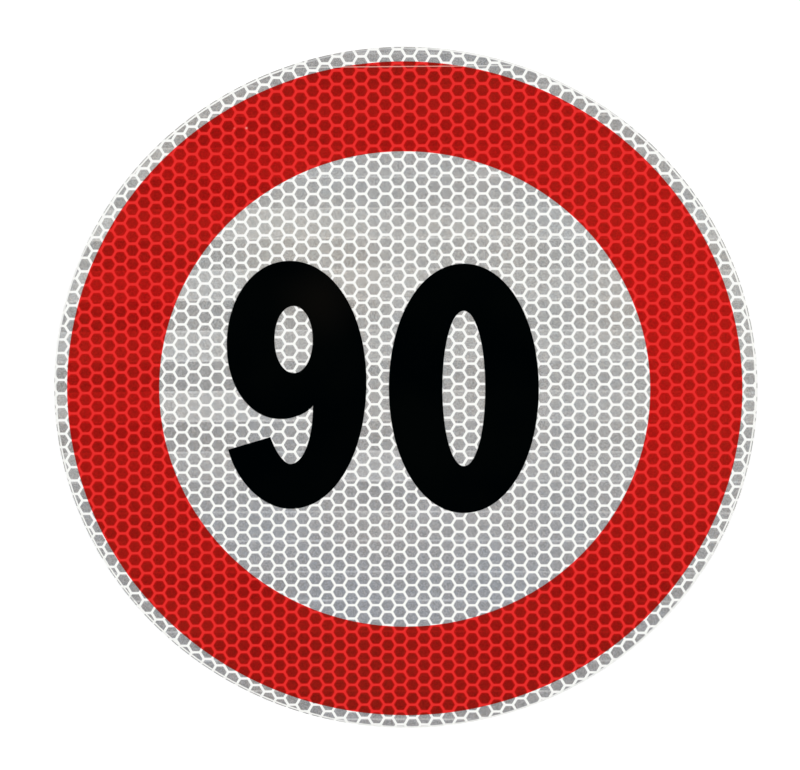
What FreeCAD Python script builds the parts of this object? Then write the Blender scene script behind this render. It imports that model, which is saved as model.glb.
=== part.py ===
# Round stick-on speed limit sign: a retroreflective disc with a red border and black numerals.
# Everything is in millimetres. The disc lies flat with its printed face up: the origin is the
# middle of its back face, +Z points out of the print and +Y to the top of the sign.
import FreeCAD, Part
import os

import Sketcher
from FreeCAD import Vector

# Each row is a driving dimension: its name, its value and what it measures.
SIZES = [
    ("disc_diameter", 200, "cut edge of the disc"),
    ("sheet_thickness", 0.4, "reflective sheet with the adhesive on its back"),
    ("shoulder_width", 0.45, "strip along the edge that the cutting die pressed down"),
    ("shoulder_flank", 0.15, "slope between that strip and the face"),
    ("shoulder_drop", 0.06, "depth of that strip below the face"),
    ("ink_thickness", 0.05, "clear red ink of the border"),
    ("film_thickness", 0.08, "black film of the numerals"),
    ("print_shift_right", -0.3, "middle of the print, from the middle of the disc"),
    ("print_shift_up", -0.2, "middle of the print, from the middle of the disc"),
    ("rim_width", 4, "bare sheet between the cut edge and the red border"),
    ("border_width", 26.2, "red border, from its outer to its inner edge"),
    ("numeral_gap", 6.4, "between the nine and the zero"),
    ("numerals_shift_right", -6.2, "middle of the pair, from the middle of the print"),
    ("numerals_shift_up", 0.4, "middle of the zero, from the middle of the print"),
    ("side_stroke", 15.2, "upright strokes of both numerals"),
    ("curve_fullness", 0.57, "pull of a curve to its corner, 0.55 for an ellipse"),
    ("zero_width", 42.6, "whole zero"),
    ("zero_height", 73.2, "whole zero"),
    ("zero_crown_stroke", 13.8, "strokes at the top and bottom of the zero"),
    ("nine_width", 39.65, "whole nine"),
    ("nine_height", 72.8, "whole nine"),
    ("nine_rise", 0.95, "middle of the nine, from the middle of the zero"),
    ("nine_crown_stroke", 13.2, "strokes at the top and foot of the nine"),
    ("nine_waist_stroke", 13.5, "stroke at the bottom of the nine's bowl"),
    ("nine_axis", 18, "highest and lowest points, from the nine's left edge"),
    ("nine_shoulder_drop", 35.4, "from the top down to the rightmost point"),
    ("bowl_height", 46.4, "bowl of the nine, from its top to its underside"),
    ("bowl_stroke", 13.55, "left stroke of the bowl"),
    ("bowl_shoulder_drop", 24.8, "from the top down to the leftmost point"),
    ("bowl_foot_inset", 15.2, "lowest point of the bowl, from the left edge"),
    ("crotch_rise", 4, "from the bowl's underside up to where it meets the upright"),
    ("crotch_lead", 2.8, "how far before the upright the underside starts to rise"),
    ("tail_tip_inset", 0.3, "outer corner of the tail, from the left edge"),
    ("tail_tip_height", 17.4, "outer corner of the tail, from the foot"),
    ("tail_tip_lead", 4.3, "how far past that corner the foot's curve levels out"),
    ("hook_inset", 12.3, "inner corner of the tail, from the left edge"),
    ("hook_rise", 7.9, "inner corner of the tail, from the inside of the foot"),
    ("hook_lead", 2.6, "how far past that corner the inside of the foot levels out"),
]

doc = FreeCAD.newDocument("SpeedLimitDisc")


def make_size_sheet():
    """Writes the driving dimensions as plain numbers, each with its name as alias."""
    sheet = doc.addObject("Spreadsheet::Sheet", "Sizes")
    for row, (name, value, note) in enumerate(SIZES, start=1):
        sheet.set(f"A{row}", name)
        sheet.set(f"B{row}", str(value))
        sheet.set(f"C{row}", note)
        sheet.setAlias(f"B{row}", name)
    doc.recompute()


def make_body(name, place=()):
    """A body whose place is given by expressions on the sheet, for X, Y and Z."""
    body = doc.addObject("PartDesign::Body", name)
    body.Label = name
    for axis, expression in zip("xyz", place):
        body.setExpression(f".Placement.Base.{axis}", expression)
    return body


def make_sketch(body, name, role):
    """An empty sketch on one of the body's own origin planes."""
    plane = next(f for f in body.Origin.OriginFeatures if f.Role == role)
    sketch = body.newObject("Sketcher::SketchObject", name)
    sketch.AttachmentSupport = [(plane, "")]
    sketch.MapMode = "FlatFace"
    return sketch


def make_pad(body, name, sketch, thickness):
    """Raises a sketch to a thickness on the sheet."""
    pad = body.newObject("PartDesign::Pad", name)
    pad.Profile = (sketch, [""])
    pad.setExpression("Length", thickness)
    body.Tip = pad


def number(sketch, expression):
    """The value of an expression on the sheet."""
    result = sketch.evalExpression(expression)
    return getattr(result, "Value", result)


def point(sketch, place):
    """The point that a pair of expressions gives in the sketch."""
    return Vector(number(sketch, place[0]), number(sketch, place[1]), 0)


def bind(sketch, kind, references, expression):
    """Adds a sized constraint and ties it to the sheet."""
    size = number(sketch, expression)
    index = sketch.addConstraint(Sketcher.Constraint(kind, *references, size))
    sketch.setExpression(f"Constraints[{index}]", expression)


def bind_point(sketch, geometry, vertex, place):
    """Ties a vertex to the point that a pair of expressions gives."""
    bind(sketch, "DistanceX", (-1, 1, geometry, vertex), place[0])
    bind(sketch, "DistanceY", (-1, 1, geometry, vertex), place[1])


def pulled(end, corner):
    """The point that an end of a curve is pulled to, on the way to the curve's corner."""
    return tuple(f"({a}) + (({b}) - ({a})) * Sizes.curve_fullness" for a, b in zip(end, corner))


def draw_line(sketch, start, end):
    """A straight leg, tied to the sheet at its start."""
    line = sketch.addGeometry(Part.LineSegment(point(sketch, start), point(sketch, end)), False)
    bind_point(sketch, line, 1, start)
    return line


def draw_curve(sketch, start, corner, end):
    """A cubic leg that leaves its start towards the corner and comes to its end from there."""
    places = [start, pulled(start, corner), pulled(end, corner), end]
    poles = [point(sketch, place) for place in places]
    spline = Part.BSplineCurve(poles, None, None, False, 3, None, False)
    curve = sketch.addGeometry(spline, False)
    first_pole = sketch.GeometryCount
    sketch.exposeInternalGeometry(curve)
    for index, place in enumerate(places[:-1]):
        bind_point(sketch, first_pole + index, 3, place)
    return curve


def draw_loop(sketch, stations):
    """A closed outline. Each station is a point and the corner that the leg to the next
    station bends to, or None where that leg is straight."""
    legs = []
    for (start, corner), (end, _) in zip(stations, stations[1:] + stations[:1]):
        if corner:
            legs.append(draw_curve(sketch, start, corner, end))
        else:
            legs.append(draw_line(sketch, start, end))
    for leg, following in zip(legs, legs[1:] + legs[:1]):
        sketch.addConstraint(Sketcher.Constraint("Coincident", leg, 2, following, 1))


def draw_oval(sketch, left, right, bottom, top):
    """Four curves between the middles of a box's sides, each bent to a corner of the box."""
    across = f"(({left}) + ({right})) / 2"
    upward = f"(({bottom}) + ({top})) / 2"
    draw_loop(sketch, [
        ((across, top), (left, top)),
        ((left, upward), (left, bottom)),
        ((across, bottom), (right, bottom)),
        ((right, upward), (right, top)),
    ])


def make_reflective_sheet():
    """The disc, with the strip along its cut edge a little lower than the face."""
    body = make_body("reflective_sheet")
    sketch = make_sketch(body, "section", "XZ_Plane")
    edge = "Sizes.disc_diameter / 2"
    crease = f"{edge} - Sizes.shoulder_width"
    face_edge = f"{crease} - Sizes.shoulder_flank"
    strip = "Sizes.sheet_thickness - Sizes.shoulder_drop"
    draw_loop(sketch, [
        (("0", "0"), None),
        ((edge, "0"), None),
        ((edge, strip), None),
        ((crease, strip), None),
        ((face_edge, "Sizes.sheet_thickness"), None),
        (("0", "Sizes.sheet_thickness"), None),
    ])
    turn = body.newObject("PartDesign::Revolution", "disc")
    turn.Profile = (sketch, [""])
    turn.ReferenceAxis = (sketch, ["V_Axis"])
    turn.Angle = 360
    body.Tip = turn


def make_red_border():
    """The ring of clear red ink on the face."""
    place = ("Sizes.print_shift_right", "Sizes.print_shift_up", "Sizes.sheet_thickness")
    body = make_body("red_border", place)
    sketch = make_sketch(body, "ring", "XY_Plane")
    outer = "Sizes.disc_diameter - 2 * Sizes.rim_width"
    inner = f"{outer} - 2 * Sizes.border_width"
    for diameter in (outer, inner):
        radius = number(sketch, diameter) / 2
        circle = sketch.addGeometry(Part.Circle(Vector(), Vector(0, 0, 1), radius), False)
        sketch.addConstraint(Sketcher.Constraint("Coincident", circle, 3, -1, 1))
        bind(sketch, "Diameter", (circle,), diameter)
    make_pad(body, "ink", sketch, "Sizes.ink_thickness")


def numeral_place(left, height, rise):
    """Where a numeral's lower left corner stands. Its left edge is measured in the pair, and
    its middle from the middle of the zero."""
    pair_width = "Sizes.nine_width + Sizes.numeral_gap + Sizes.zero_width"
    pair_middle = "Sizes.print_shift_right + Sizes.numerals_shift_right"
    zero_middle = "Sizes.print_shift_up + Sizes.numerals_shift_up"
    across = f"{pair_middle} - ({pair_width}) / 2 + {left}"
    upward = f"{zero_middle} + {rise} - {height} / 2"
    return across, upward, "Sizes.sheet_thickness"


def make_numeral_nine():
    """The nine: one outline round the bowl, the upright and the tail, and the bowl's opening."""
    top = "Sizes.nine_height"
    body = make_body("numeral_nine", numeral_place("0", top, "Sizes.nine_rise"))
    sketch = make_sketch(body, "outline", "XY_Plane")
    right = "Sizes.nine_width"
    axis = "Sizes.nine_axis"
    upright = f"{right} - Sizes.side_stroke"
    underside = f"{top} - Sizes.bowl_height"
    foot = "Sizes.nine_crown_stroke"
    crotch = (upright, f"{underside} + Sizes.crotch_rise")
    hook = ("Sizes.hook_inset", f"{foot} + Sizes.hook_rise")
    tip = ("Sizes.tail_tip_inset", "Sizes.tail_tip_height")
    draw_loop(sketch, [
        ((axis, top), ("0", top)),
        (("0", f"{top} - Sizes.bowl_shoulder_drop"), ("0", underside)),
        (("Sizes.bowl_foot_inset", underside), (f"{upright} - Sizes.crotch_lead", underside)),
        (crotch, (upright, foot)),
        ((axis, foot), (f"{hook[0]} + Sizes.hook_lead", foot)),
        (hook, None),
        (tip, (f"{tip[0]} + Sizes.tail_tip_lead", "0")),
        ((axis, "0"), (right, "0")),
        ((right, f"{top} - Sizes.nine_shoulder_drop"), (right, top)),
    ])
    waist = f"{underside} + Sizes.nine_waist_stroke"
    draw_oval(sketch, "Sizes.bowl_stroke", upright, waist, f"{top} - Sizes.nine_crown_stroke")
    make_pad(body, "film", sketch, "Sizes.film_thickness")


def make_numeral_zero():
    """The zero: an oval with an oval opening."""
    left = "Sizes.nine_width + Sizes.numeral_gap"
    top = "Sizes.zero_height"
    body = make_body("numeral_zero", numeral_place(left, top, "0"))
    sketch = make_sketch(body, "outline", "XY_Plane")
    right = "Sizes.zero_width"
    side = "Sizes.side_stroke"
    crown = "Sizes.zero_crown_stroke"
    draw_oval(sketch, "0", right, "0", top)
    draw_oval(sketch, side, f"{right} - {side}", crown, f"{top} - {crown}")
    make_pad(body, "film", sketch, "Sizes.film_thickness")


def export_parts():
    """Checks every object and each body's shape, then writes one file for each body."""
    doc.recompute()
    for item in doc.Objects:
        if "Invalid" in item.State or "Error" in item.State:
            raise RuntimeError(f"{item.Label} did not build: {item.State}")
    bodies = [item for item in doc.Objects if item.TypeId == "PartDesign::Body"]
    for body in bodies:
        if body.Shape.isNull() or not body.Shape.isValid() or len(body.Shape.Solids) != 1:
            raise RuntimeError(f"{body.Label} is not one valid solid")
    os.makedirs("parts", exist_ok=True)
    for body in bodies:
        body.Shape.exportStep(f"parts/{body.Label}.step")
        print(body.Label, "volume", round(body.Shape.Volume, 2), body.Shape.BoundBox)


make_size_sheet()
make_reflective_sheet()
make_red_border()
make_numeral_nine()
make_numeral_zero()
export_parts()
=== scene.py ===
import math

import bmesh
import bpy
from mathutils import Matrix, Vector


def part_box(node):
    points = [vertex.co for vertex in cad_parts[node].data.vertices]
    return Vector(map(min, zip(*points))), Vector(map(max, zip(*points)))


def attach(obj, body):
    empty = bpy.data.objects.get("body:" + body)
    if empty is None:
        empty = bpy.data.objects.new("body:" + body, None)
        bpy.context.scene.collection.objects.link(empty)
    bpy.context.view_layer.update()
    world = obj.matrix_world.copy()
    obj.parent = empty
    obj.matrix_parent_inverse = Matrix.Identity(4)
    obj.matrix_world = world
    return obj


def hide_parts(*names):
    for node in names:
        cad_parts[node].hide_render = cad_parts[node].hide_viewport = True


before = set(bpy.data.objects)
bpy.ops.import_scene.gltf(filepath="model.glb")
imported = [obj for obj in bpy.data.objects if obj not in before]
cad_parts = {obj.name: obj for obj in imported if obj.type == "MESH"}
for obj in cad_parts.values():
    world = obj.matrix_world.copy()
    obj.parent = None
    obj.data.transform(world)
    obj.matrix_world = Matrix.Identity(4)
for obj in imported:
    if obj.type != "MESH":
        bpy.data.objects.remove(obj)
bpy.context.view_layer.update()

# Sizes in metres, from the frame where it has them
MM = 0.001
sheet_low, sheet_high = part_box("reflective_sheet")
ring_low, ring_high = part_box("red_border")
DISC_RADIUS = min(-sheet_low.x, -sheet_low.y, sheet_high.x, sheet_high.y)
SHEET_TOP = sheet_high.z
INK_TOP = ring_high.z
RING_OUTER = (ring_high.x - ring_low.x) / 2
RING_WIDTH = 26.2 * MM
RING_INNER = RING_OUTER - RING_WIDTH
PRINT_CENTRE = Vector(((ring_low.x + ring_high.x) / 2, (ring_low.y + ring_high.y) / 2, 0))
CREASE_TOP = DISC_RADIUS - 0.72 * MM
CREASE_FOOT = DISC_RADIUS - 0.26 * MM
CREASE_DROP = 0.06 * MM
ROUND_STEPS = 360

# Honeycomb, with its lines sunk between the cells
CELL_PITCH = 3.965 * MM
LINE_WIDTH = 0.72 * MM
LINE_DEPTH = 0.03 * MM
CELL_CORNER = 0.12 * MM
CELL_BEVEL = 0.11 * MM
RED_LINE = 0.69 * MM
RED_CORNER = 0.36 * MM
RED_BEVEL = 0.19 * MM
CELL_CENTRE = Vector((-2.03, 1.50, 0)) * MM
CELL_TURN = math.radians(0.178)

# The sheeting's stretch, per metre, with the squares of the place: x times x, y times y, x times y
STRETCH_SIDEWAYS = Vector((0.028, 0.013, -0.001))
STRETCH_UPWARDS = Vector((-0.066, 0.068, 0.027))

# Marks in the sheeting, and spots of painted sheen and painted glints, in millimetres from the middle of
# the disc
SCRATCH = dict(start=(-31.2, 94.0, 0), end=(31.5, 94.62, 0))
BRIGHT_FLECK = dict(middle=(-45.0, 76.3, 0), radius=0.55)
FAINT_FLECK = dict(middle=(-48.4, 76.2, 0), radius=0.5)
# A painted warm sheen on the black nine.
PAINTED_SHEEN = dict(middle=(-24.0, 26.0, 0), radius=16.0)
PALE_CLOUD = dict(middle=(-36.0, 40.0, 0), radius=27.0)
# Painted glints on the press bands, where light catches them, painted into the colour.
PAINTED_LOW_GLINT = dict(middle=(-6.0, -27.0, 0), radius=23.0)
PAINTED_LEFT_GLINT = dict(middle=(-56.0, -5.0, 0), radius=25.0)

# Photograph's view
VIEW_TILT = math.radians(14.5)
VIEW_TURN = math.radians(2.5)
VIEW_DISTANCE = 5.2
VIEW_WIDTH = 227.4 * MM
VIEW_POINT = Vector((-1.62, 1.20, 0.4)) * MM

FLOAT = "NodeSocketFloat"
INT = "NodeSocketInt"
VECTOR = "NodeSocketVector"


class Graph:
    """A node tree with short calls that add nodes and join them."""

    def __init__(self, tree):
        self.tree = tree

    def feed(self, socket, value):
        if isinstance(value, bpy.types.NodeSocket):
            self.tree.links.new(value, socket)
        else:
            socket.default_value = value

    def node(self, kind, inputs=None, **settings):
        node = self.tree.nodes.new(kind)
        for name, value in settings.items():
            setattr(node, name, value)
        for key, value in (inputs or {}).items():
            self.feed(node.inputs[key], value)
        return node

    def math(self, operation, a, b=0.0, c=0.0, clamp=False):
        inputs = {0: a, 1: b, 2: c}
        return self.node("ShaderNodeMath", inputs, operation=operation, use_clamp=clamp).outputs[0]

    def vector(self, operation, a, b=(0, 0, 0)):
        inputs = {0: a, "Scale" if operation == "SCALE" else 1: b}
        node = self.node("ShaderNodeVectorMath", inputs, operation=operation)
        gives_number = operation in ("DOT_PRODUCT", "DISTANCE", "LENGTH")
        return node.outputs["Value" if gives_number else "Vector"]

    def parts(self, vector):
        return self.node("ShaderNodeSeparateXYZ", {0: vector}).outputs

    def whole(self, x=0.0, y=0.0, z=0.0):
        return self.node("ShaderNodeCombineXYZ", {"X": x, "Y": y, "Z": z}).outputs[0]

    def squares(self, vector):
        """x times x, y times y and x times y, which the stretch grows with."""
        at = self.parts(vector)
        across = self.math("MULTIPLY", at["X"], at["X"])
        along = self.math("MULTIPLY", at["Y"], at["Y"])
        return self.whole(across, along, self.math("MULTIPLY", at["X"], at["Y"]))


class CellGraph(Graph):
    """Geometry nodes: solids, selections and moves."""

    def geometry(self, kind, inputs, **settings):
        return self.node(kind, inputs, **settings).outputs[0]

    def selection(self, operation, a, b):
        inputs = {"A": a, "B": b}
        node = self.node("FunctionNodeCompare", inputs, data_type="FLOAT", operation=operation)
        return node.outputs["Result"]

    def position(self):
        return self.node("GeometryNodeInputPosition").outputs[0]

    def stored(self, geometry, name, value):
        inputs = {"Geometry": geometry, "Name": name, "Value": value}
        kind = "GeometryNodeStoreNamedAttribute"
        return self.geometry(kind, inputs, data_type="FLOAT", domain="POINT")

    def raised(self, mesh, top, height, scale=1.0):
        """The top faces pulled up by a height, and scaled about their middle."""
        inputs = {"Mesh": mesh, "Selection": top, "Offset Scale": height}
        step = self.node("GeometryNodeExtrudeMesh", inputs)
        top = step.outputs["Top"]
        inputs = {"Geometry": step.outputs["Mesh"], "Selection": top, "Scale": scale}
        return self.geometry("GeometryNodeScaleElements", inputs), top

    def drum(self, radius, centre):
        inputs = {"Vertices": ROUND_STEPS, "Radius": radius, "Depth": 2 * MM}
        body = self.geometry("GeometryNodeMeshCylinder", inputs)
        return self.geometry("GeometryNodeTransform", {"Geometry": body, "Translation": centre})


class ShaderGraph(Graph):
    """Shader nodes: masks, patterns and colour mixes."""

    def ramp(self, value, low, high, to_low=0.0, to_high=1.0):
        inputs = {"Value": value, "From Min": low, "From Max": high, "To Min": to_low, "To Max": to_high}
        return self.node("ShaderNodeMapRange", inputs, interpolation_type="SMOOTHSTEP").outputs["Result"]

    def noise(self, place, scale, detail=2.0, roughness=0.5):
        inputs = {"Vector": place, "Scale": scale, "Detail": detail, "Roughness": roughness}
        return self.node("ShaderNodeTexNoise", inputs, noise_dimensions="3D").outputs["Fac"]

    def swing(self, place, scale, detail=1.0, shift=0.0):
        """Noise that goes both ways from 0, to about 1. A shift gives another pattern."""
        moved = self.vector("ADD", place, (0, 0, shift)) if shift else place
        return self.math("MULTIPLY_ADD", self.noise(moved, scale, detail), 4.0, -2.0)

    def mix(self, factor, a, b, blend="MIX"):
        inputs = {"Factor": factor, 6: a, 7: b}
        return self.node("ShaderNodeMix", inputs, data_type="RGBA", blend_type=blend).outputs[2]

    def multiplied(self, colour, red, green, blue):
        """The colour with each of its channels made stronger or weaker by a number near 1."""
        inputs = {"Red": red, "Green": green, "Blue": blue}
        factors = self.node("ShaderNodeCombineColor", inputs).outputs[0]
        return self.mix(1.0, colour, factors, "MULTIPLY")

    def group(self, tree, **inputs):
        node = self.node("ShaderNodeGroup", node_tree=tree)
        for name, value in inputs.items():
            self.feed(node.inputs[title(name)], value)
        return node.outputs

    def bump(self, height, strength, distance):
        inputs = {"Height": height, "Strength": strength, "Distance": distance}
        return self.node("ShaderNodeBump", inputs).outputs[0]

    def place_mm(self):
        """The object's own coordinates in millimetres."""
        coordinates = self.node("ShaderNodeTexCoord").outputs["Object"]
        return self.vector("SCALE", coordinates, 1 / MM)

    def sheet_place(self, place):
        """Coordinates that follow the honeycomb, with its stretch, shift and turn taken out."""
        squares = self.squares(place)
        sideways = self.vector("DOT_PRODUCT", squares, STRETCH_SIDEWAYS * MM)
        upwards = self.vector("DOT_PRODUCT", squares, STRETCH_UPWARDS * MM)
        straight = self.vector("SUBTRACT", place, self.whole(sideways, upwards))
        inputs = {"Vector": straight, "Location": CELL_CENTRE / MM, "Rotation": (0, 0, CELL_TURN)}
        return self.node("ShaderNodeMapping", inputs, vector_type="TEXTURE").outputs[0]


def title(name):
    """A socket's name from a plain one: cell_pitch is Cell Pitch."""
    return name.replace("_", " ").title()


def add_sockets(tree, direction, **sockets):
    """Named inputs or outputs of a node tree, each with its kind and, for an input, its value."""
    for name, (kind, value) in sockets.items():
        socket = tree.interface.new_socket(title(name), in_out=direction, socket_type=kind)
        if value is not None:
            socket.default_value = value


def srgb(red, green, blue):
    """Linear colour from 0 to 255 screen values."""
    channels = [value / 255 for value in (red, green, blue)]
    linear = [v / 12.92 if v <= 0.04045 else ((v + 0.055) / 1.055) ** 2.4 for v in channels]
    return (*linear, 1.0)


# Honeycomb cells as geometry
def cell_solid(g, given, across):
    """One cell: a six-sided pad with eased corners, a sloped edge and a faint crown."""
    corner_reach = g.math("DIVIDE", across, math.sqrt(3))
    inputs = {"Resolution": 6, "Radius": corner_reach}
    hexagon = g.geometry("GeometryNodeCurvePrimitiveCircle", inputs)
    inputs = {"Curve": hexagon, "Count": 1, "Radius": given["Corner Radius"]}
    eased = g.geometry("GeometryNodeFilletCurve", inputs, mode="POLY")
    floor = g.geometry("GeometryNodeFillCurve", {"Curve": eased}, mode="NGONS")
    underside = g.geometry("GeometryNodeFlipFaces", {"Mesh": floor})
    bevel_share = g.math("DIVIDE", given["Bevel Width"], g.math("MULTIPLY", across, 0.5))
    bevel_rise = g.math("MULTIPLY", given["Bevel Height"], 0.6)
    crown_rise = g.math("MULTIPLY", given["Bevel Height"], 0.4)
    mesh, top = g.raised(floor, True, given["Wall Height"])
    mesh, top = g.raised(mesh, top, bevel_rise, g.math("SUBTRACT", 1.0, bevel_share))
    mesh, top = g.raised(mesh, top, crown_rise, given["Crown Size"])
    closed = g.node("GeometryNodeJoinGeometry", {"Geometry": mesh})
    g.feed(closed.inputs["Geometry"], underside)
    inputs = {"Geometry": closed.outputs[0], "Distance": 0.001 * MM}
    merged = g.geometry("GeometryNodeMergeByDistance", inputs)
    height = g.math("SUBTRACT", g.parts(g.position())["Z"], given["Wall Height"])
    rim = g.math("SUBTRACT", 1.0, g.math("DIVIDE", height, given["Bevel Height"]), clamp=True)
    return g.stored(merged, "cell_rim", rim)


def cell_middles(g, given, turn):
    """The middles of the cells: columns side by side, every second one half a cell higher."""
    pitch = given["Cell Pitch"]
    column_step = g.math("MULTIPLY", pitch, math.sqrt(3) / 2)
    reach = g.math("MULTIPLY_ADD", pitch, 2.0, given["Outer Radius"])
    columns_half = g.math("CEIL", g.math("DIVIDE", reach, column_step))
    rows_half = g.math("CEIL", g.math("DIVIDE", reach, pitch))
    inputs = {
        "Size X": g.math("MULTIPLY", g.math("MULTIPLY", columns_half, 2.0), column_step),
        "Size Y": g.math("MULTIPLY", g.math("MULTIPLY", rows_half, 2.0), pitch),
        "Vertices X": g.math("MULTIPLY_ADD", columns_half, 2.0, 1.0),
        "Vertices Y": g.math("MULTIPLY_ADD", rows_half, 2.0, 1.0),
    }
    grid = g.geometry("GeometryNodeMeshGrid", inputs)
    at = g.parts(g.position())
    column = g.math("ROUND", g.math("DIVIDE", at["X"], column_step))
    row = g.math("ROUND", g.math("DIVIDE", at["Y"], pitch))
    random = g.node("FunctionNodeRandomValue", data_type="FLOAT")
    g.feed(random.inputs[2], -1.0)
    g.feed(random.inputs[3], 1.0)
    g.feed(random.inputs["ID"], g.math("MULTIPLY_ADD", column, 500.0, row))
    g.feed(random.inputs["Seed"], given["Seed"])
    toned = g.stored(grid, "cell_tone", random.outputs[1])
    odd = g.math("FLOORED_MODULO", column, 2.0)
    lift = g.whole(y=g.math("MULTIPLY", odd, g.math("MULTIPLY", pitch, 0.5)))
    staggered = g.geometry("GeometryNodeSetPosition", {"Geometry": toned, "Offset": lift})
    inputs = {"Geometry": staggered, "Translation": given["Cell Centre"], "Rotation": turn}
    laid = g.geometry("GeometryNodeTransform", inputs)
    squares = g.squares(g.position())
    sideways = g.vector("DOT_PRODUCT", squares, given["Stretch Sideways"])
    upwards = g.vector("DOT_PRODUCT", squares, given["Stretch Upwards"])
    inputs = {"Geometry": laid, "Offset": g.whole(sideways, upwards)}
    return g.geometry("GeometryNodeSetPosition", inputs)


def near_zone(g, given, middles, across):
    """Only the middles whose cells reach the zone."""
    corner_reach = g.math("DIVIDE", across, math.sqrt(3))
    from_outer = g.vector("DISTANCE", g.position(), given["Outer Centre"])
    from_inner = g.vector("DISTANCE", g.position(), given["Inner Centre"])
    far = g.math("ADD", given["Outer Radius"], corner_reach)
    near = g.math("SUBTRACT", given["Inner Radius"], corner_reach)
    outside = g.selection("GREATER_THAN", from_outer, far)
    inside = g.selection("LESS_THAN", from_inner, near)
    either = g.node("FunctionNodeBooleanMath", {0: outside, 1: inside}, operation="OR").outputs[0]
    inputs = {"Geometry": middles, "Selection": either}
    return g.geometry("GeometryNodeDeleteGeometry", inputs, domain="POINT")


def cut_to_zone(g, given, cells):
    """The zone's round edges cut through the cells."""
    within = g.node("GeometryNodeMeshBoolean", operation="INTERSECT", solver="MANIFOLD")
    g.feed(within.inputs["Mesh 2"], cells)
    g.feed(within.inputs["Mesh 2"], g.drum(given["Outer Radius"], given["Outer Centre"]))
    around = g.node("GeometryNodeMeshBoolean", operation="DIFFERENCE", solver="MANIFOLD")
    g.feed(around.inputs["Mesh 1"], within.outputs["Mesh"])
    g.feed(around.inputs["Mesh 2"], g.drum(given["Inner Radius"], given["Inner Centre"]))
    has_hole = g.selection("GREATER_THAN", given["Inner Radius"], 0.0)
    inputs = {"Switch": has_hole, "False": within.outputs["Mesh"], "True": around.outputs["Mesh"]}
    return g.geometry("GeometryNodeSwitch", inputs, input_type="GEOMETRY")


def honeycomb_tree():
    """Cells of the honeycomb within a round or ring-shaped zone."""
    tree = bpy.data.node_groups.new("honeycomb_cells", "GeometryNodeTree")
    origin = (0, 0, 0)
    add_sockets(
        tree,
        "INPUT",
        outer_radius=(FLOAT, 0.07),
        outer_centre=(VECTOR, origin),
        inner_radius=(FLOAT, 0.0),
        inner_centre=(VECTOR, origin),
        cell_pitch=(FLOAT, CELL_PITCH),
        line_width=(FLOAT, LINE_WIDTH),
        corner_radius=(FLOAT, CELL_CORNER),
        bevel_width=(FLOAT, CELL_BEVEL),
        crown_size=(FLOAT, 0.8),
        cell_centre=(VECTOR, origin),
        cell_turn=(FLOAT, 0.0),
        stretch_sideways=(VECTOR, origin),
        stretch_upwards=(VECTOR, origin),
        cell_foot=(FLOAT, 0.0),
        wall_height=(FLOAT, 0.0),
        bevel_height=(FLOAT, 0.0),
        cell_material=("NodeSocketMaterial", None),
        seed=(INT, 1),
    )
    add_sockets(tree, "OUTPUT", geometry=("NodeSocketGeometry", None))
    g = CellGraph(tree)
    given = g.node("NodeGroupInput").outputs
    across = g.math("SUBTRACT", given["Cell Pitch"], given["Line Width"])
    turn = g.whole(z=given["Cell Turn"])
    middles = near_zone(g, given, cell_middles(g, given, turn), across)
    rotation = g.node("FunctionNodeEulerToRotation", {"Euler": turn}).outputs[0]
    inputs = {"Points": middles, "Instance": cell_solid(g, given, across), "Rotation": rotation}
    pads = g.geometry("GeometryNodeInstanceOnPoints", inputs)
    inputs = {"Geometry": pads, "Translation": g.whole(z=given["Cell Foot"])}
    standing = g.geometry("GeometryNodeTransform", inputs)
    cells = g.geometry("GeometryNodeRealizeInstances", {"Geometry": standing})
    whole = g.geometry("GeometryNodeRealizeInstances", {"Geometry": cut_to_zone(g, given, cells)})
    inputs = {"Geometry": whole, "Material": given["Cell Material"]}
    g.node("NodeGroupOutput", {"Geometry": g.geometry("GeometryNodeSetMaterial", inputs)})
    return tree


def honeycomb_zone(tree, name, material, **sizes):
    """One zone of cells as a plain mesh object."""
    carrier = bpy.data.objects.new(name, bpy.data.meshes.new(name))
    bpy.context.scene.collection.objects.link(carrier)
    modifier = carrier.modifiers.new("cells", "NODES")
    modifier.node_group = tree
    values = {
        "cell_centre": CELL_CENTRE,
        "cell_turn": CELL_TURN,
        "stretch_sideways": STRETCH_SIDEWAYS,
        "stretch_upwards": STRETCH_UPWARDS,
        "cell_material": material,
        **sizes,
    }
    identifiers = {item.name: item.identifier for item in tree.interface.items_tree}
    for key, value in values.items():
        modifier[identifiers[title(key)]] = value
    bpy.context.view_layer.update()
    graph = bpy.context.evaluated_depsgraph_get()
    evaluated = carrier.evaluated_get(graph)
    mesh = bpy.data.meshes.new_from_object(evaluated, preserve_all_data_layers=True, depsgraph=graph)
    carrier.modifiers.remove(modifier)
    carrier.data = mesh
    return carrier


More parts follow.
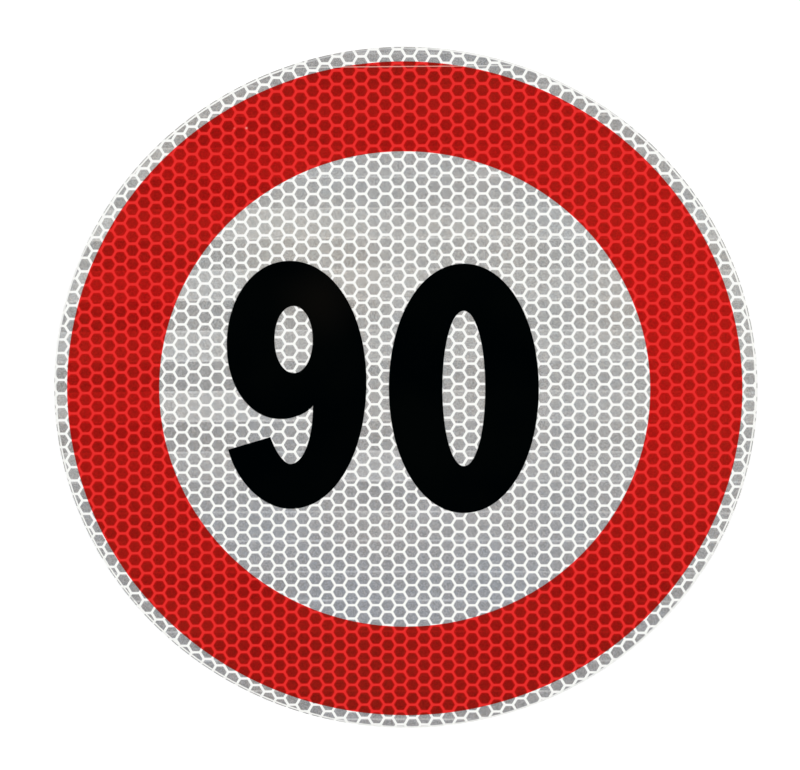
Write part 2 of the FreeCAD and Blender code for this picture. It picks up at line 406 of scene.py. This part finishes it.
def turned_plate(name, profile, materials, centre=(0, 0, 0)):
    """A closed round plate: profile is (radius, height, material of the band that follows).

    A first radius above 0 leaves a hole in the middle.
    """
    mesh = bpy.data.meshes.new(name)
    build = bmesh.new()
    rings = []
    for radius, height, _ in profile:
        if radius == 0:
            rings.append([build.verts.new((centre[0], centre[1], height))] * ROUND_STEPS)
            continue
        ring = []
        for step in range(ROUND_STEPS):
            angle = 2 * math.pi * step / ROUND_STEPS
            x = centre[0] + radius * math.cos(angle)
            y = centre[1] + radius * math.sin(angle)
            ring.append(build.verts.new((x, y, height)))
        rings.append(ring)
    has_hole = profile[0][0] > 0
    bands = list(zip(rings, rings[1:])) + ([(rings[-1], rings[0])] if has_hole else [])
    for index, (low, high) in enumerate(bands):
        for step in range(ROUND_STEPS):
            after = (step + 1) % ROUND_STEPS
            corners = [low[step], low[after], high[after], high[step]]
            face = build.faces.new(list(dict.fromkeys(corners)))
            face.material_index = profile[index][2]
    bmesh.ops.recalc_face_normals(build, faces=build.faces)
    build.to_mesh(mesh)
    build.free()
    for material in materials:
        mesh.materials.append(material)
    plate = bpy.data.objects.new(name, mesh)
    bpy.context.scene.collection.objects.link(plate)
    return plate


def joined(main, others):
    """The other objects' meshes become part of the main one."""
    with bpy.context.temp_override(active_object=main, selected_editable_objects=[main, *others]):
        bpy.ops.object.join()
    return main


# Shader groups that several materials share
def new_group(name, outputs, **sizes):
    """A shader group that reads a place, in millimetres, and its own named sizes."""
    tree = bpy.data.node_groups.new(name, "ShaderNodeTree")
    kinds = {}
    for key, value in sizes.items():
        kinds[key] = (VECTOR if isinstance(value, tuple) else FLOAT, value)
    add_sockets(tree, "INPUT", place=(VECTOR, None), **kinds)
    add_sockets(tree, "OUTPUT", **{output: (FLOAT, None) for output in outputs})
    g = ShaderGraph(tree)
    return tree, g, g.node("NodeGroupInput").outputs


def prism_grain_group():
    """Glitter of the small prisms in a cell: each has its own lightness and warmth."""
    sizes = dict(prism_width=0.24, prism_height=0.27, cloud_size=0.8, cloud_share=0.12)
    tree, g, given = new_group("prism_grain", ["tone", "warmth"], **sizes)
    place = given["Place"]
    prism = g.whole(given["Prism Width"], given["Prism Height"], 100.0)
    snapped = g.vector("SNAP", place, prism)
    random = g.node("ShaderNodeTexWhiteNoise", {"Vector": snapped}, noise_dimensions="3D").outputs
    other = g.node("ShaderNodeSeparateColor", {0: random["Color"]}).outputs["Blue"]
    fine = g.math("MULTIPLY_ADD", random["Value"], 2.0, -1.0)
    clouds = g.swing(place, g.math("DIVIDE", 1.0, given["Cloud Size"]), 2.0)
    tone = g.math("MULTIPLY_ADD", clouds, given["Cloud Share"], fine)
    warm_clouds = g.swing(place, g.math("DIVIDE", 1.0, given["Cloud Size"]), 2.0, shift=40.0)
    warmth = g.math("ADD", warm_clouds, g.math("MULTIPLY_ADD", other, 2.0, -1.0))
    g.node("NodeGroupOutput", {"Tone": tone, "Warmth": warmth})
    return tree


def press_bands_group():
    """Level bands, every second one lighter and with a bright line at both of its seams.

    They differ more on the left, and most at two painted glints: at the far left and below the nine.
    """
    sizes = dict(
        band_pair=17.78,
        light_height=9.1,
        first_seam=-10.9,
        line_width=0.55,
        glow_width=1.0,
        band_contrast=1.0,
        foot_share=0.0,
        top_share=1.0,
        line_contrast=1.0,
        glow_contrast=1.0,
    )
    tree, g, given = new_group("press_bands", ["tone"], **sizes)
    place = given["Place"]
    at = g.parts(g.sheet_place(place))
    height = at["Y"]
    from_seam = g.math("SUBTRACT", height, given["First Seam"])
    above = g.math("FLOORED_MODULO", from_seam, given["Band Pair"])
    below = g.math("SUBTRACT", given["Light Height"], above)
    light = g.math("GREATER_THAN", below, 0.0)
    side = g.math("MULTIPLY_ADD", light, 2.0, -1.0)

    # How far a band's own tone goes
    rising = g.ramp(height, -55.0, 0.0, given["Foot Share"], 1.0)
    at_top = g.ramp(height, 42.0, 75.0, 1.0, given["Top Share"])
    leftward = g.ramp(at["X"], 0.0, -60.0, 0.65, 1.85)
    share = g.math("MULTIPLY", g.math("MULTIPLY", rising, at_top), leftward)
    # Painted glints: two soft spots where the bands are painted lighter and darker, as light catching
    # them.
    painted_low_glint = g.group(SPOT, place=place, **PAINTED_LOW_GLINT)["Mask"]
    painted_left_glint = g.group(SPOT, place=place, **PAINTED_LEFT_GLINT)["Mask"]
    glint = g.math("MULTIPLY_ADD", painted_left_glint, 0.4, painted_low_glint)
    glint_strength = g.math("MULTIPLY_ADD", light, 2.0, 1.0)
    share = g.math("MULTIPLY_ADD", glint, glint_strength, share)
    tone = g.math("MULTIPLY", g.math("MULTIPLY", side, share), given["Band Contrast"])

    # Bright line at a light band's seams, with a glow into the band
    to_seam = g.math("MINIMUM", above, below)
    softness = 0.12
    outer_edge = g.math("ADD", given["Line Width"], softness)
    inner_edge = g.math("SUBTRACT", given["Line Width"], softness)
    line = g.ramp(to_seam, outer_edge, inner_edge)
    patchy = g.ramp(g.noise(place, 0.12), 0.3, 0.65, 0.6, 1.25)
    falling = g.math("DIVIDE", g.math("MULTIPLY", to_seam, -1.0), given["Glow Width"])
    glow = g.math("EXPONENT", falling)
    seam = g.math("MULTIPLY", g.math("MULTIPLY", line, patchy), given["Line Contrast"])
    seam = g.math("MULTIPLY_ADD", glow, given["Glow Contrast"], seam)
    stronger_low = g.ramp(height, -75.0, -5.0, 2.0, 1.0)
    seam = g.math("MULTIPLY", seam, stronger_low)
    whole = g.math("MULTIPLY_ADD", light, seam, tone)
    g.node("NodeGroupOutput", {"Tone": whole})
    return tree


def painted_light_and_patches_group():
    """Slow changes across the disc: painted light and shade that rise and fall with height, and soft
    patches both ways.
    """
    painted_light_defaults = dict(low_height=-70.0, high_height=10.0, fall_start=45.0, fall_end=95.0)
    outputs = ["level", "patch", "warm_patch"]
    tree, g, given = new_group("painted_light_and_patches", outputs, **painted_light_defaults, top_fall=0.5, lean=0.0)
    at = g.parts(given["Place"])
    height = g.math("MULTIPLY_ADD", at["X"], given["Lean"], at["Y"])
    rise = g.ramp(height, given["Low Height"], given["High Height"])
    fall = g.ramp(height, given["Fall Start"], given["Fall End"])
    # Painted light and shade: lighter higher up the disc, darker at its foot and again near its top.
    level = g.math("SUBTRACT", rise, g.math("MULTIPLY", fall, given["Top Fall"]))
    patch = g.swing(given["Place"], 0.04, shift=15.0)
    warm_patch = g.swing(given["Place"], 0.03, shift=70.0)
    g.node("NodeGroupOutput", {"Level": level, "Patch": patch, "Warm Patch": warm_patch})
    return tree


def clear_film_group():
    """Ripple and fine scuffs of the clear top film, as roughness and bump height."""
    sizes = dict(smoothness=0.12, scuffing=0.05)
    tree, g, given = new_group("clear_film", ["roughness", "height"], **sizes)
    place = given["Place"]
    ripple = g.noise(place, 0.35)
    inputs = {"Vector": place, "Scale": (0.05, 1.6, 1.0), "Rotation": (0, 0, 0.5)}
    combed = g.node("ShaderNodeMapping", inputs).outputs[0]
    scuffs = g.ramp(g.noise(combed, 1.0, 3.0, 0.7), 0.52, 0.75)
    haze = g.math("MULTIPLY_ADD", g.noise(place, 0.05, 3.0), 0.8, -0.4)
    wear = g.math("MULTIPLY", g.math("ADD", scuffs, haze), given["Scuffing"])
    rough = g.math("ADD", given["Smoothness"], wear)
    height = g.math("MULTIPLY_ADD", scuffs, -0.15, ripple)
    g.node("NodeGroupOutput", {"Roughness": rough, "Height": height})
    return tree


def dust_group():
    """Scattered pale specks."""
    sizes = dict(spacing=6.0, speck_size=0.12, share=0.5)
    tree, g, given = new_group("dust_specks", ["mask"], **sizes)
    flat = g.vector("MULTIPLY", given["Place"], (1, 1, 0))
    inputs = {"Vector": flat, "Scale": g.math("DIVIDE", 1.0, given["Spacing"])}
    voronoi = g.node("ShaderNodeTexVoronoi", inputs, voronoi_dimensions="3D").outputs
    reach = g.math("MULTIPLY", voronoi["Distance"], given["Spacing"])
    speck = g.ramp(reach, given["Speck Size"], 0.0)
    random = g.node("ShaderNodeSeparateColor", {0: voronoi["Color"]}).outputs
    chosen = g.math("LESS_THAN", random["Red"], given["Share"])
    strength = g.math("MULTIPLY_ADD", random["Green"], 0.7, 0.3)
    mask = g.math("MULTIPLY", g.math("MULTIPLY", speck, chosen), strength)
    g.node("NodeGroupOutput", {"Mask": mask})
    return tree


def comb_lines_group():
    """The honeycomb showing through another layer: 1 on its lines, 0 in its cells."""
    sizes = dict(pitch=CELL_PITCH / MM, line=LINE_WIDTH / MM, softness=0.2)
    tree, g, given = new_group("comb_lines", ["mask"], **sizes)
    followed = g.sheet_place(given["Place"])
    unit = g.vector("SCALE", followed, g.math("DIVIDE", 1.0, given["Pitch"]))
    cell = (math.sqrt(3), 1.0, 1.0)

    def from_nearest(shift):
        """Place counted from the nearest middle of one of the two interleaved grids."""
        moved = g.vector("ADD", unit, (cell[0] / 2 + shift[0], 0.5 + shift[1], 0))
        inputs = {0: moved, 1: cell, 2: (0, 0, 0)}
        wrapped = g.node("ShaderNodeVectorMath", inputs, operation="WRAP").outputs[0]
        return g.vector("SUBTRACT", wrapped, (cell[0] / 2, 0.5, 0))

    def across(place):
        """Six-sided distance from a cell's middle, 0.5 at its wall."""
        parts = g.parts(g.vector("ABSOLUTE", place))
        half_height = g.math("MULTIPLY", parts["Y"], 0.5)
        slanted = g.math("MULTIPLY_ADD", parts["X"], math.sqrt(3) / 2, half_height)
        return g.math("MAXIMUM", parts["Y"], slanted)

    even = across(from_nearest((0, 0)))
    odd = across(from_nearest((cell[0] / 2, 0.5)))
    nearest = g.math("MINIMUM", even, odd)
    to_wall = g.math("MULTIPLY", g.math("SUBTRACT", 0.5, nearest), given["Pitch"])
    half = g.math("MULTIPLY", given["Line"], 0.5)
    cell_side = g.math("ADD", half, given["Softness"])
    line_side = g.math("SUBTRACT", half, given["Softness"])
    g.node("NodeGroupOutput", {"Mask": g.ramp(to_wall, cell_side, line_side)})
    return tree


def scratch_group():
    """A straight fine scratch from one point to another."""
    sizes = dict(start=(0.0, 0.0, 0.0), end=(1.0, 0.0, 0.0), half_width=0.14, softness=0.05)
    tree, g, given = new_group("scratch", ["mask"], **sizes)
    flat = g.vector("MULTIPLY", given["Place"], (1, 1, 0))
    run = g.vector("SUBTRACT", given["End"], given["Start"])
    reach = g.vector("SUBTRACT", flat, given["Start"])
    along = g.vector("DOT_PRODUCT", reach, run)
    share = g.math("DIVIDE", along, g.vector("DOT_PRODUCT", run, run), clamp=True)
    nearest = g.vector("ADD", given["Start"], g.vector("SCALE", run, share))
    distance = g.vector("DISTANCE", flat, nearest)
    outer = g.math("ADD", given["Half Width"], given["Softness"])
    inner = g.math("SUBTRACT", given["Half Width"], given["Softness"])
    g.node("NodeGroupOutput", {"Mask": g.ramp(distance, outer, inner)})
    return tree


def pressed_rim_group():
    """Round the cut edge of the disc: where its cells run on and where it is white."""
    sizes = dict(white_start=99.35, white_end=99.6)
    tree, g, given = new_group("pressed_rim", ["run_out", "whitened"], **sizes)
    flat = g.vector("MULTIPLY", given["Place"], (1, 1, 0))
    direction = g.vector("NORMALIZE", flat)

    def sector(degrees, half_width):
        """1 within a sector of the disc, given by its direction and half its width."""
        angle = math.radians(degrees)
        toward = g.vector("DOT_PRODUCT", direction, (math.cos(angle), math.sin(angle), 0))
        outside, inside = math.radians(half_width + 5), math.radians(half_width - 5)
        return g.ramp(toward, math.cos(outside), math.cos(inside))

    lower_right, upper_right, left = sector(-64, 36), sector(70, 17), sector(167, 11)
    run_out = g.math("MAXIMUM", lower_right, g.math("MAXIMUM", upper_right, left))
    stay = sector(98, 9)
    radius = g.vector("LENGTH", flat)
    outer = g.ramp(radius, given["White Start"], given["White End"])
    outer = g.math("MULTIPLY", outer, g.math("MULTIPLY_ADD", stay, -0.65, 1.0))
    inner = g.math("SUBTRACT", 1.0, g.math("MAXIMUM", run_out, stay))
    whitened = g.math("MAXIMUM", inner, outer)
    g.node("NodeGroupOutput", {"Run Out": run_out, "Whitened": whitened})
    return tree


def soft_spot_group():
    """A round spot that fades from its middle to its edge."""
    sizes = dict(middle=(0.0, 0.0, 0.0), radius=1.0)
    tree, g, given = new_group("soft_spot", ["mask"], **sizes)
    flat = g.vector("MULTIPLY", given["Place"], (1, 1, 0))
    distance = g.vector("DISTANCE", flat, given["Middle"])
    g.node("NodeGroupOutput", {"Mask": g.ramp(distance, given["Radius"], 0.0)})
    return tree


SPOT = soft_spot_group()
GRAIN = prism_grain_group()
BANDS = press_bands_group()
PAINTED_LIGHT_AND_PATCHES = painted_light_and_patches_group()
FILM = clear_film_group()
DUST = dust_group()
COMB = comb_lines_group()
SCRATCH_LINE = scratch_group()
RIM = pressed_rim_group()


# Materials
SEAL_WHITE = srgb(249, 249, 246)
# White of the cells' painted edge highlight, and of the pale outer line.
LIT_WHITE = srgb(249, 249, 247)


def new_material(name):
    """A material with its shader and output nodes, and the calls that add more."""
    material = bpy.data.materials.new(name)
    material.use_nodes = True
    material.node_tree.nodes.clear()
    g = ShaderGraph(material.node_tree)
    surface = g.node("ShaderNodeBsdfPrincipled")
    g.node("ShaderNodeOutputMaterial", {"Surface": surface.outputs[0]})
    return material, g, surface.inputs


def glossy_film(g, surface, place):
    """The clear film's gloss over a material."""
    film = g.group(FILM, place=place, smoothness=0.13, scuffing=0.05)
    g.feed(surface["Roughness"], film["Roughness"])
    g.feed(surface["Normal"], g.bump(film["Height"], 0.15, 0.02 * MM))


def prism_tone(g, place, painted_light_and_patch_drift, bands, per_cell, grain, patches, tint, green_swing=0.0, slant=0.0):
    """Lightness and warmth of a honeycomb cell, as a factor near 1 for each channel.

    Green swing is how far green follows the warmth, and slant a rise towards the right.
    """
    own = g.node("ShaderNodeAttribute", attribute_name="cell_tone").outputs["Fac"]
    glitter = g.group(GRAIN, place=place)
    band = g.group(BANDS, place=place, **bands)
    tone = g.math("MULTIPLY_ADD", own, per_cell, 1.0)
    tone = g.math("MULTIPLY_ADD", glitter["Tone"], grain, tone)
    tone = g.math("MULTIPLY_ADD", painted_light_and_patch_drift["Patch"], patches, tone)
    tone = g.math("ADD", tone, band["Tone"])
    at = g.parts(place)
    tone = g.math("MULTIPLY_ADD", at["X"], g.ramp(at["Y"], -60.0, -10.0, 0.0, slant), tone)
    warmth = g.math("ADD", glitter["Warmth"], painted_light_and_patch_drift["Warm Patch"])
    warmer = g.math("MULTIPLY_ADD", warmth, tint, 1.0)
    between = g.math("MULTIPLY_ADD", warmth, -tint * green_swing, 1.0)
    cooler = g.math("MULTIPLY_ADD", warmth, -tint, 1.0)
    return [g.math("MULTIPLY", tone, change) for change in (warmer, between, cooler)]


def painted_rim_highlight(g, colour, line_colour, share):
    """The edge of a cell, painted lighter towards the line beside it as a painted highlight."""
    rim = g.node("ShaderNodeAttribute", attribute_name="cell_rim").outputs["Fac"]
    return g.mix(g.math("MULTIPLY", rim, share), colour, line_colour)


def white_line_material():
    """The white lines that seal the cells."""
    material, g, surface = new_material("white_seal_line")
    place = g.place_mm()
    uneven = g.noise(place, 0.8)
    g.feed(surface["Base Color"], g.mix(uneven, SEAL_WHITE, srgb(253, 253, 251)))
    glossy_film(g, surface, place)
    return material


def paler_outer_line(g, place, colour):
    """The last line before the cut, which is paler where the edge is white."""
    start, end = 99.6, 99.75
    rim = g.group(RIM, place=place, white_start=start, white_end=end)
    share = g.math("MULTIPLY_ADD", rim["Run Out"], 0.75, 0.15)
    paler = g.math("MULTIPLY", rim["Whitened"], share)
    outermost = g.ramp(g.vector("LENGTH", place), start, end)
    return g.mix(g.math("MULTIPLY", outermost, paler), colour, LIT_WHITE)


def silver_cell_material():
    """Silver prisms with painted shade and light: darker and cool at the foot of the middle, neutral at
    the rim, lighter and warmer higher up.
    """
    material, g, surface = new_material("silver_prism_cell")
    place = g.place_mm()
    painted_light_heights = dict(low_height=-85.0, high_height=42.0, fall_start=42.0, fall_end=92.0)
    painted_light_and_patch_drift = g.group(PAINTED_LIGHT_AND_PATCHES, place=place, **painted_light_heights, top_fall=0.7, lean=0.08)
    # Painted shade and light: a darker colour low down, cool in the middle and neutral at the rim,
    # turning to a lighter, warmer one higher up.
    at_rim = g.ramp(g.vector("LENGTH", place), 85.0, 95.0)
    low = g.mix(at_rim, srgb(150.5, 151.8, 156), srgb(152.5, 151.3, 151.5))
    colour = g.mix(painted_light_and_patch_drift["Level"], low, srgb(175, 173.7, 171))
    shares = dict(per_cell=0.035, grain=0.27, patches=0.035, tint=0.03)
    bands = dict(band_contrast=0.07, foot_share=-0.2, top_share=0.3)
    bands.update(line_contrast=0.21, glow_contrast=0.08)
    colour = g.multiplied(colour, *prism_tone(g, place, painted_light_and_patch_drift, bands, **shares))
    cloud = g.group(SPOT, place=place, **PALE_CLOUD)["Mask"]
    colour = g.mix(g.math("MULTIPLY", cloud, 0.11), colour, srgb(238, 232, 216))
    scratch = g.group(SCRATCH_LINE, place=place, **SCRATCH)["Mask"]
    colour = g.mix(g.math("MULTIPLY", scratch, 0.6), colour, srgb(250, 248, 244))
    colour = painted_rim_highlight(g, colour, LIT_WHITE, 0.15)
    g.feed(surface["Base Color"], paler_outer_line(g, place, colour))
    glossy_film(g, surface, place)
    return material


def with_ink_marks(g, place, colour):
    """The scratch across the top of the ring and two flecks where the ink is thin."""
    scratch = g.group(SCRATCH_LINE, place=place, **SCRATCH)["Mask"]
    colour = g.mix(scratch, colour, srgb(224, 150, 140))
    bright = g.group(SPOT, place=place, **BRIGHT_FLECK)["Mask"]
    colour = g.mix(bright, colour, srgb(255, 150, 138))
    faint = g.group(SPOT, place=place, **FAINT_FLECK)["Mask"]
    return g.mix(g.math("MULTIPLY", faint, 0.6), colour, srgb(255, 110, 98))


def red_line_material():
    """Clear red ink over the white lines."""
    material, g, surface = new_material("red_over_line")
    place = g.place_mm()
    uneven = g.noise(place, 0.8)
    colour = g.mix(uneven, srgb(231, 46, 44), srgb(236, 49, 46))
    g.feed(surface["Base Color"], with_ink_marks(g, place, colour))
    glossy_film(g, surface, place)
    return material


def red_cell_material():
    """Clear red ink over the silver prisms, with painted shade making it darker towards the foot."""
    material, g, surface = new_material("red_over_cell")
    place = g.place_mm()
    painted_light_heights = dict(low_height=-110.0, high_height=15.0, fall_start=50.0, fall_end=102.0)
    painted_light_and_patch_drift = g.group(PAINTED_LIGHT_AND_PATCHES, place=place, **painted_light_heights, top_fall=0.6, lean=-0.03)
    # Painted shade and light: darker red at the foot, lighter red higher up.
    colour = g.mix(painted_light_and_patch_drift["Level"], srgb(141, 24, 18), srgb(168, 25, 20))
    shares = dict(per_cell=0.03, grain=0.2, patches=0.03, tint=0.05, green_swing=3.5, slant=0.0008)
    bands = dict(band_contrast=0.036, foot_share=-0.8, line_contrast=0.085, glow_contrast=0.03)
    colour = g.multiplied(colour, *prism_tone(g, place, painted_light_and_patch_drift, bands, **shares))
    colour = painted_rim_highlight(g, colour, srgb(234, 19, 15), 0.55)
    g.feed(surface["Base Color"], with_ink_marks(g, place, colour))
    glossy_film(g, surface, place)
    return material


def crease_material():
    """The pressed slope near the cut edge: white, or the honeycomb where its cells run on."""
    material, g, surface = new_material("pressed_crease")
    place = g.place_mm()
    comb = g.group(COMB, place=place)["Mask"]
    colour = g.mix(comb, srgb(163, 163, 165), SEAL_WHITE)
    rim = g.group(RIM, place=place)
    broken = g.ramp(g.noise(place, 0.25), 0.25, 0.4, 0.5, 1.0)
    whitened = g.math("MULTIPLY", rim["Whitened"], broken)
    g.feed(surface["Base Color"], g.mix(whitened, colour, SEAL_WHITE))
    glossy_film(g, surface, place)
    return material


def cut_edge_material():
    """The sheet's cut side, with its layers as fine level lines."""
    material, g, surface = new_material("cut_edge_layers")
    place = g.place_mm()
    wave = g.math("SINE", g.math("MULTIPLY", g.parts(place)["Z"], 60.0))
    layers = g.math("MULTIPLY_ADD", wave, 0.5, 0.5)
    worn = g.noise(g.vector("MULTIPLY", place, (2.0, 2.0, 25.0)), 1.0, 3.0)
    shade = g.math("MULTIPLY", layers, worn)
    g.feed(surface["Base Color"], g.mix(shade, srgb(222, 222, 218), srgb(180, 181, 180)))
    g.feed(surface["Roughness"], g.ramp(worn, 0.3, 0.7, 0.4, 0.6))
    return material


def adhesive_material():
    """The clear adhesive over the sheet's pale backing."""
    material, g, surface = new_material("adhesive_back")
    place = g.place_mm()
    comb = g.group(COMB, place=place, softness=0.3)["Mask"]
    cloud = g.ramp(g.noise(place, 0.04, 4.0), 0.25, 0.75)
    colour = g.mix(cloud, srgb(217, 217, 210), srgb(223, 223, 217))
    # Painted shade: the honeycomb's sunk lines painted slightly darker, as well as bumped.
    colour = g.mix(g.math("MULTIPLY", comb, 0.25), colour, srgb(200, 200, 194))
    specks = g.group(DUST, place=place, spacing=5.0, speck_size=0.25, share=0.4)["Mask"]
    g.feed(surface["Base Color"], g.mix(g.math("MULTIPLY", specks, 0.4), colour, srgb(170, 168, 160)))
    film = g.group(FILM, place=place, smoothness=0.32, scuffing=0.12)
    g.feed(surface["Roughness"], film["Roughness"])
    height = g.math("MULTIPLY_ADD", comb, -0.5, film["Height"])
    g.feed(surface["Normal"], g.bump(height, 0.3, 0.03 * MM))
    return material


def black_film_material():
    """Opaque black cut film, with faint dust, a painted warm sheen and the honeycomb just felt under it.
    """
    material, g, surface = new_material("black_numeral_film")
    place = g.place_mm()
    cloud = g.ramp(g.noise(place, 0.03), 0.35, 0.65)
    colour = g.mix(cloud, srgb(0, 2, 3), srgb(2, 4, 4))
    # Painted sheen: a warm, paler patch on the nine where light reflects.
    haze = g.group(SPOT, place=place, **PAINTED_SHEEN)["Mask"]
    colour = g.mix(g.math("MULTIPLY", haze, 0.4), colour, srgb(20, 17, 14))
    specks = g.group(DUST, place=place, spacing=7.0, speck_size=0.4, share=0.3)["Mask"]
    g.feed(surface["Base Color"], g.mix(g.math("MULTIPLY", specks, 0.35), colour, srgb(50, 50, 50)))
    film = g.group(FILM, place=place, smoothness=0.11, scuffing=0.06)
    g.feed(surface["Roughness"], film["Roughness"])
    comb = g.group(COMB, place=place, softness=0.35)["Mask"]
    height = g.math("MULTIPLY_ADD", comb, -0.4, film["Height"])
    g.feed(surface["Normal"], g.bump(height, 0.2, 0.02 * MM))
    return material


# Pieces
def cell_heights(line_top):
    """A cell's foot, just under the lines, its short wall and the rise of its edge and crown."""
    foot, wall = 0.010 * MM, 0.015 * MM
    return dict(cell_foot=line_top - foot, wall_height=wall, bevel_height=LINE_DEPTH + foot - wall)


def honeycomb_sheet(tree):
    """The disc: a plate with sunk white lines and the silver cells standing between them."""
    line_top = SHEET_TOP - LINE_DEPTH
    edge_top = line_top - CREASE_DROP
    materials = [white_line_material(), crease_material(), cut_edge_material(), adhesive_material()]
    white, crease, edge, back = range(4)
    profile = [
        (0, 0, back),
        (DISC_RADIUS, 0, edge),
        (DISC_RADIUS, edge_top, white),
        (CREASE_FOOT, edge_top, crease),
        (CREASE_TOP, line_top, white),
        (0, line_top, white),
    ]
    plate = turned_plate("honeycomb_sheet", profile, materials)
    silver = silver_cell_material()
    cut_edge = DISC_RADIUS - 0.01 * MM
    middle = dict(outer_radius=RING_INNER, outer_centre=PRINT_CENTRE)
    rim = dict(outer_radius=CREASE_TOP, inner_radius=RING_OUTER, inner_centre=PRINT_CENTRE)
    pressed = dict(outer_radius=cut_edge, inner_radius=CREASE_FOOT)
    parts = [
        honeycomb_zone(tree, "middle_cells", silver, **middle, **cell_heights(line_top)),
        honeycomb_zone(tree, "rim_cells", silver, **rim, **cell_heights(line_top)),
        honeycomb_zone(tree, "edge_cells", silver, **pressed, **cell_heights(edge_top)),
    ]
    return joined(plate, parts)


def red_ring(tree):
    """The clear red ink ring, thin over the lines and standing over the cells."""
    floor = SHEET_TOP - LINE_DEPTH
    line_top = INK_TOP - LINE_DEPTH
    profile = [
        (RING_INNER, floor, 0),
        (RING_OUTER, floor, 0),
        (RING_OUTER, line_top, 0),
        (RING_INNER, line_top, 0),
    ]
    plate = turned_plate("red_ring", profile, [red_line_material()], PRINT_CENTRE)
    radii = dict(outer_radius=RING_OUTER, inner_radius=RING_INNER)
    centres = dict(outer_centre=PRINT_CENTRE, inner_centre=PRINT_CENTRE)
    rounder = dict(line_width=RED_LINE, corner_radius=RED_CORNER, bevel_width=RED_BEVEL)
    sizes = {**radii, **centres, **rounder, **cell_heights(line_top)}
    cells = honeycomb_zone(tree, "red_cells", red_cell_material(), **sizes)
    return joined(plate, [cells])


# Surroundings
def seen_directly(g):
    """1 for rays from the camera, from a mirror or through glass."""
    rays = g.node("ShaderNodeLightPath").outputs
    mirrored = g.math("MAXIMUM", rays["Is Glossy Ray"], rays["Is Transmission Ray"])
    return g.math("MAXIMUM", rays["Is Camera Ray"], mirrored)


def white_floor():
    """A white floor that keeps the disc's shadow and is white to the camera and in reflections."""
    half, height = 6.0, -0.01 * MM
    sides = [(-half, -half), (half, -half), (half, half), (-half, half)]
    corners = [(x, y, height) for x, y in sides]
    mesh = bpy.data.meshes.new("floor")
    mesh.from_pydata(corners, [], [(0, 1, 2, 3)])
    material = bpy.data.materials.new("white_floor")
    material.use_nodes = True
    material.node_tree.nodes.clear()
    g = ShaderGraph(material.node_tree)
    paint = g.node("ShaderNodeBsdfDiffuse", {"Color": (0.9, 0.9, 0.9, 1)}).outputs[0]
    brightness = g.math("MULTIPLY", seen_directly(g), 0.25)
    glow = g.node("ShaderNodeEmission", {"Strength": brightness}).outputs[0]
    both = g.node("ShaderNodeAddShader", {0: paint, 1: glow}).outputs[0]
    g.node("ShaderNodeOutputMaterial", {"Surface": both})
    mesh.materials.append(material)
    floor = bpy.data.objects.new("floor", mesh)
    bpy.context.scene.collection.objects.link(floor)


def studio_sky():
    """Soft light from all round, dark overhead and dimmer in the film's gloss.

    So the film mirrors nothing bright, and the black and red stay deep from the sides too.
    """
    world = bpy.data.worlds.new("studio")
    world.use_nodes = True
    world.node_tree.nodes.clear()
    g = ShaderGraph(world.node_tree)
    direction = g.node("ShaderNodeTexCoord").outputs["Generated"]
    overhead, horizon = 0.80, 0.45
    soft = g.ramp(g.parts(direction)["Z"], overhead, horizon, 0.0, 0.94)
    rays = g.node("ShaderNodeLightPath").outputs
    dimmed = g.math("MULTIPLY_ADD", rays["Is Glossy Ray"], -0.6, 1.0)
    strength = g.math("MAXIMUM", g.math("MULTIPLY", soft, dimmed), rays["Is Camera Ray"])
    inputs = {"Color": (1, 1, 1, 1), "Strength": strength}
    light = g.node("ShaderNodeBackground", inputs).outputs[0]
    g.node("ShaderNodeOutputWorld", {"Surface": light})
    bpy.context.scene.world = world


def softbox(name, azimuth, elevation, watts, side=1.4, distance=2.2):
    """A square lamp aimed at the disc. Azimuth 0 is below the sign's foot, 90 at its right.

    The glossy film doesn't mirror it, so the colours stay clear from the sides too.
    """
    lamp = bpy.data.lights.new(name, "AREA")
    lamp.shape = "SQUARE"
    lamp.size = side
    lamp.energy = watts
    a, e = math.radians(azimuth), math.radians(elevation)
    back = Vector((math.sin(a) * math.cos(e), -math.cos(a) * math.cos(e), math.sin(e)))
    box = bpy.data.objects.new(name, lamp)
    box.location = back * distance
    box.rotation_mode = "QUATERNION"
    box.rotation_quaternion = (-back).to_track_quat("-Z", "Y")
    box.visible_glossy = False
    bpy.context.scene.collection.objects.link(box)


def photograph_camera():
    """The photograph's view: a long lens, a little off square, with the sign's top nearer."""
    data = bpy.data.cameras.new("camera")
    data.sensor_width = 36
    data.lens = data.sensor_width * VIEW_DISTANCE / VIEW_WIDTH
    data.clip_start = 0.1
    data.clip_end = 100
    camera = bpy.data.objects.new("camera", data)
    up = Vector((0, 0, 1))
    side = Vector((math.sin(VIEW_TURN), math.cos(VIEW_TURN), 0))
    back = side * math.sin(VIEW_TILT) + up * math.cos(VIEW_TILT)
    camera.location = VIEW_POINT + back * VIEW_DISTANCE
    camera.rotation_mode = "QUATERNION"
    camera.rotation_quaternion = up.rotation_difference(back)
    bpy.context.scene.collection.objects.link(camera)
    bpy.context.scene.camera = camera


bpy.context.scene.view_settings.view_transform = "Standard"
photograph_camera()
studio_sky()
softbox("left_softbox", azimuth=-90, elevation=45, watts=21)
softbox("right_softbox", azimuth=90, elevation=45, watts=21)
softbox("top_softbox", azimuth=180, elevation=35, watts=10.5)
white_floor()

cells_tree = honeycomb_tree()
sheet = honeycomb_sheet(cells_tree)
ring = red_ring(cells_tree)
for piece, node in ((sheet, "reflective_sheet"), (ring, "red_border")):
    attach(piece, "root")
    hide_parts(node)

black_film = black_film_material()
for name in ("numeral_nine", "numeral_zero"):
    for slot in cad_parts[name].material_slots:
        slot.material = black_film
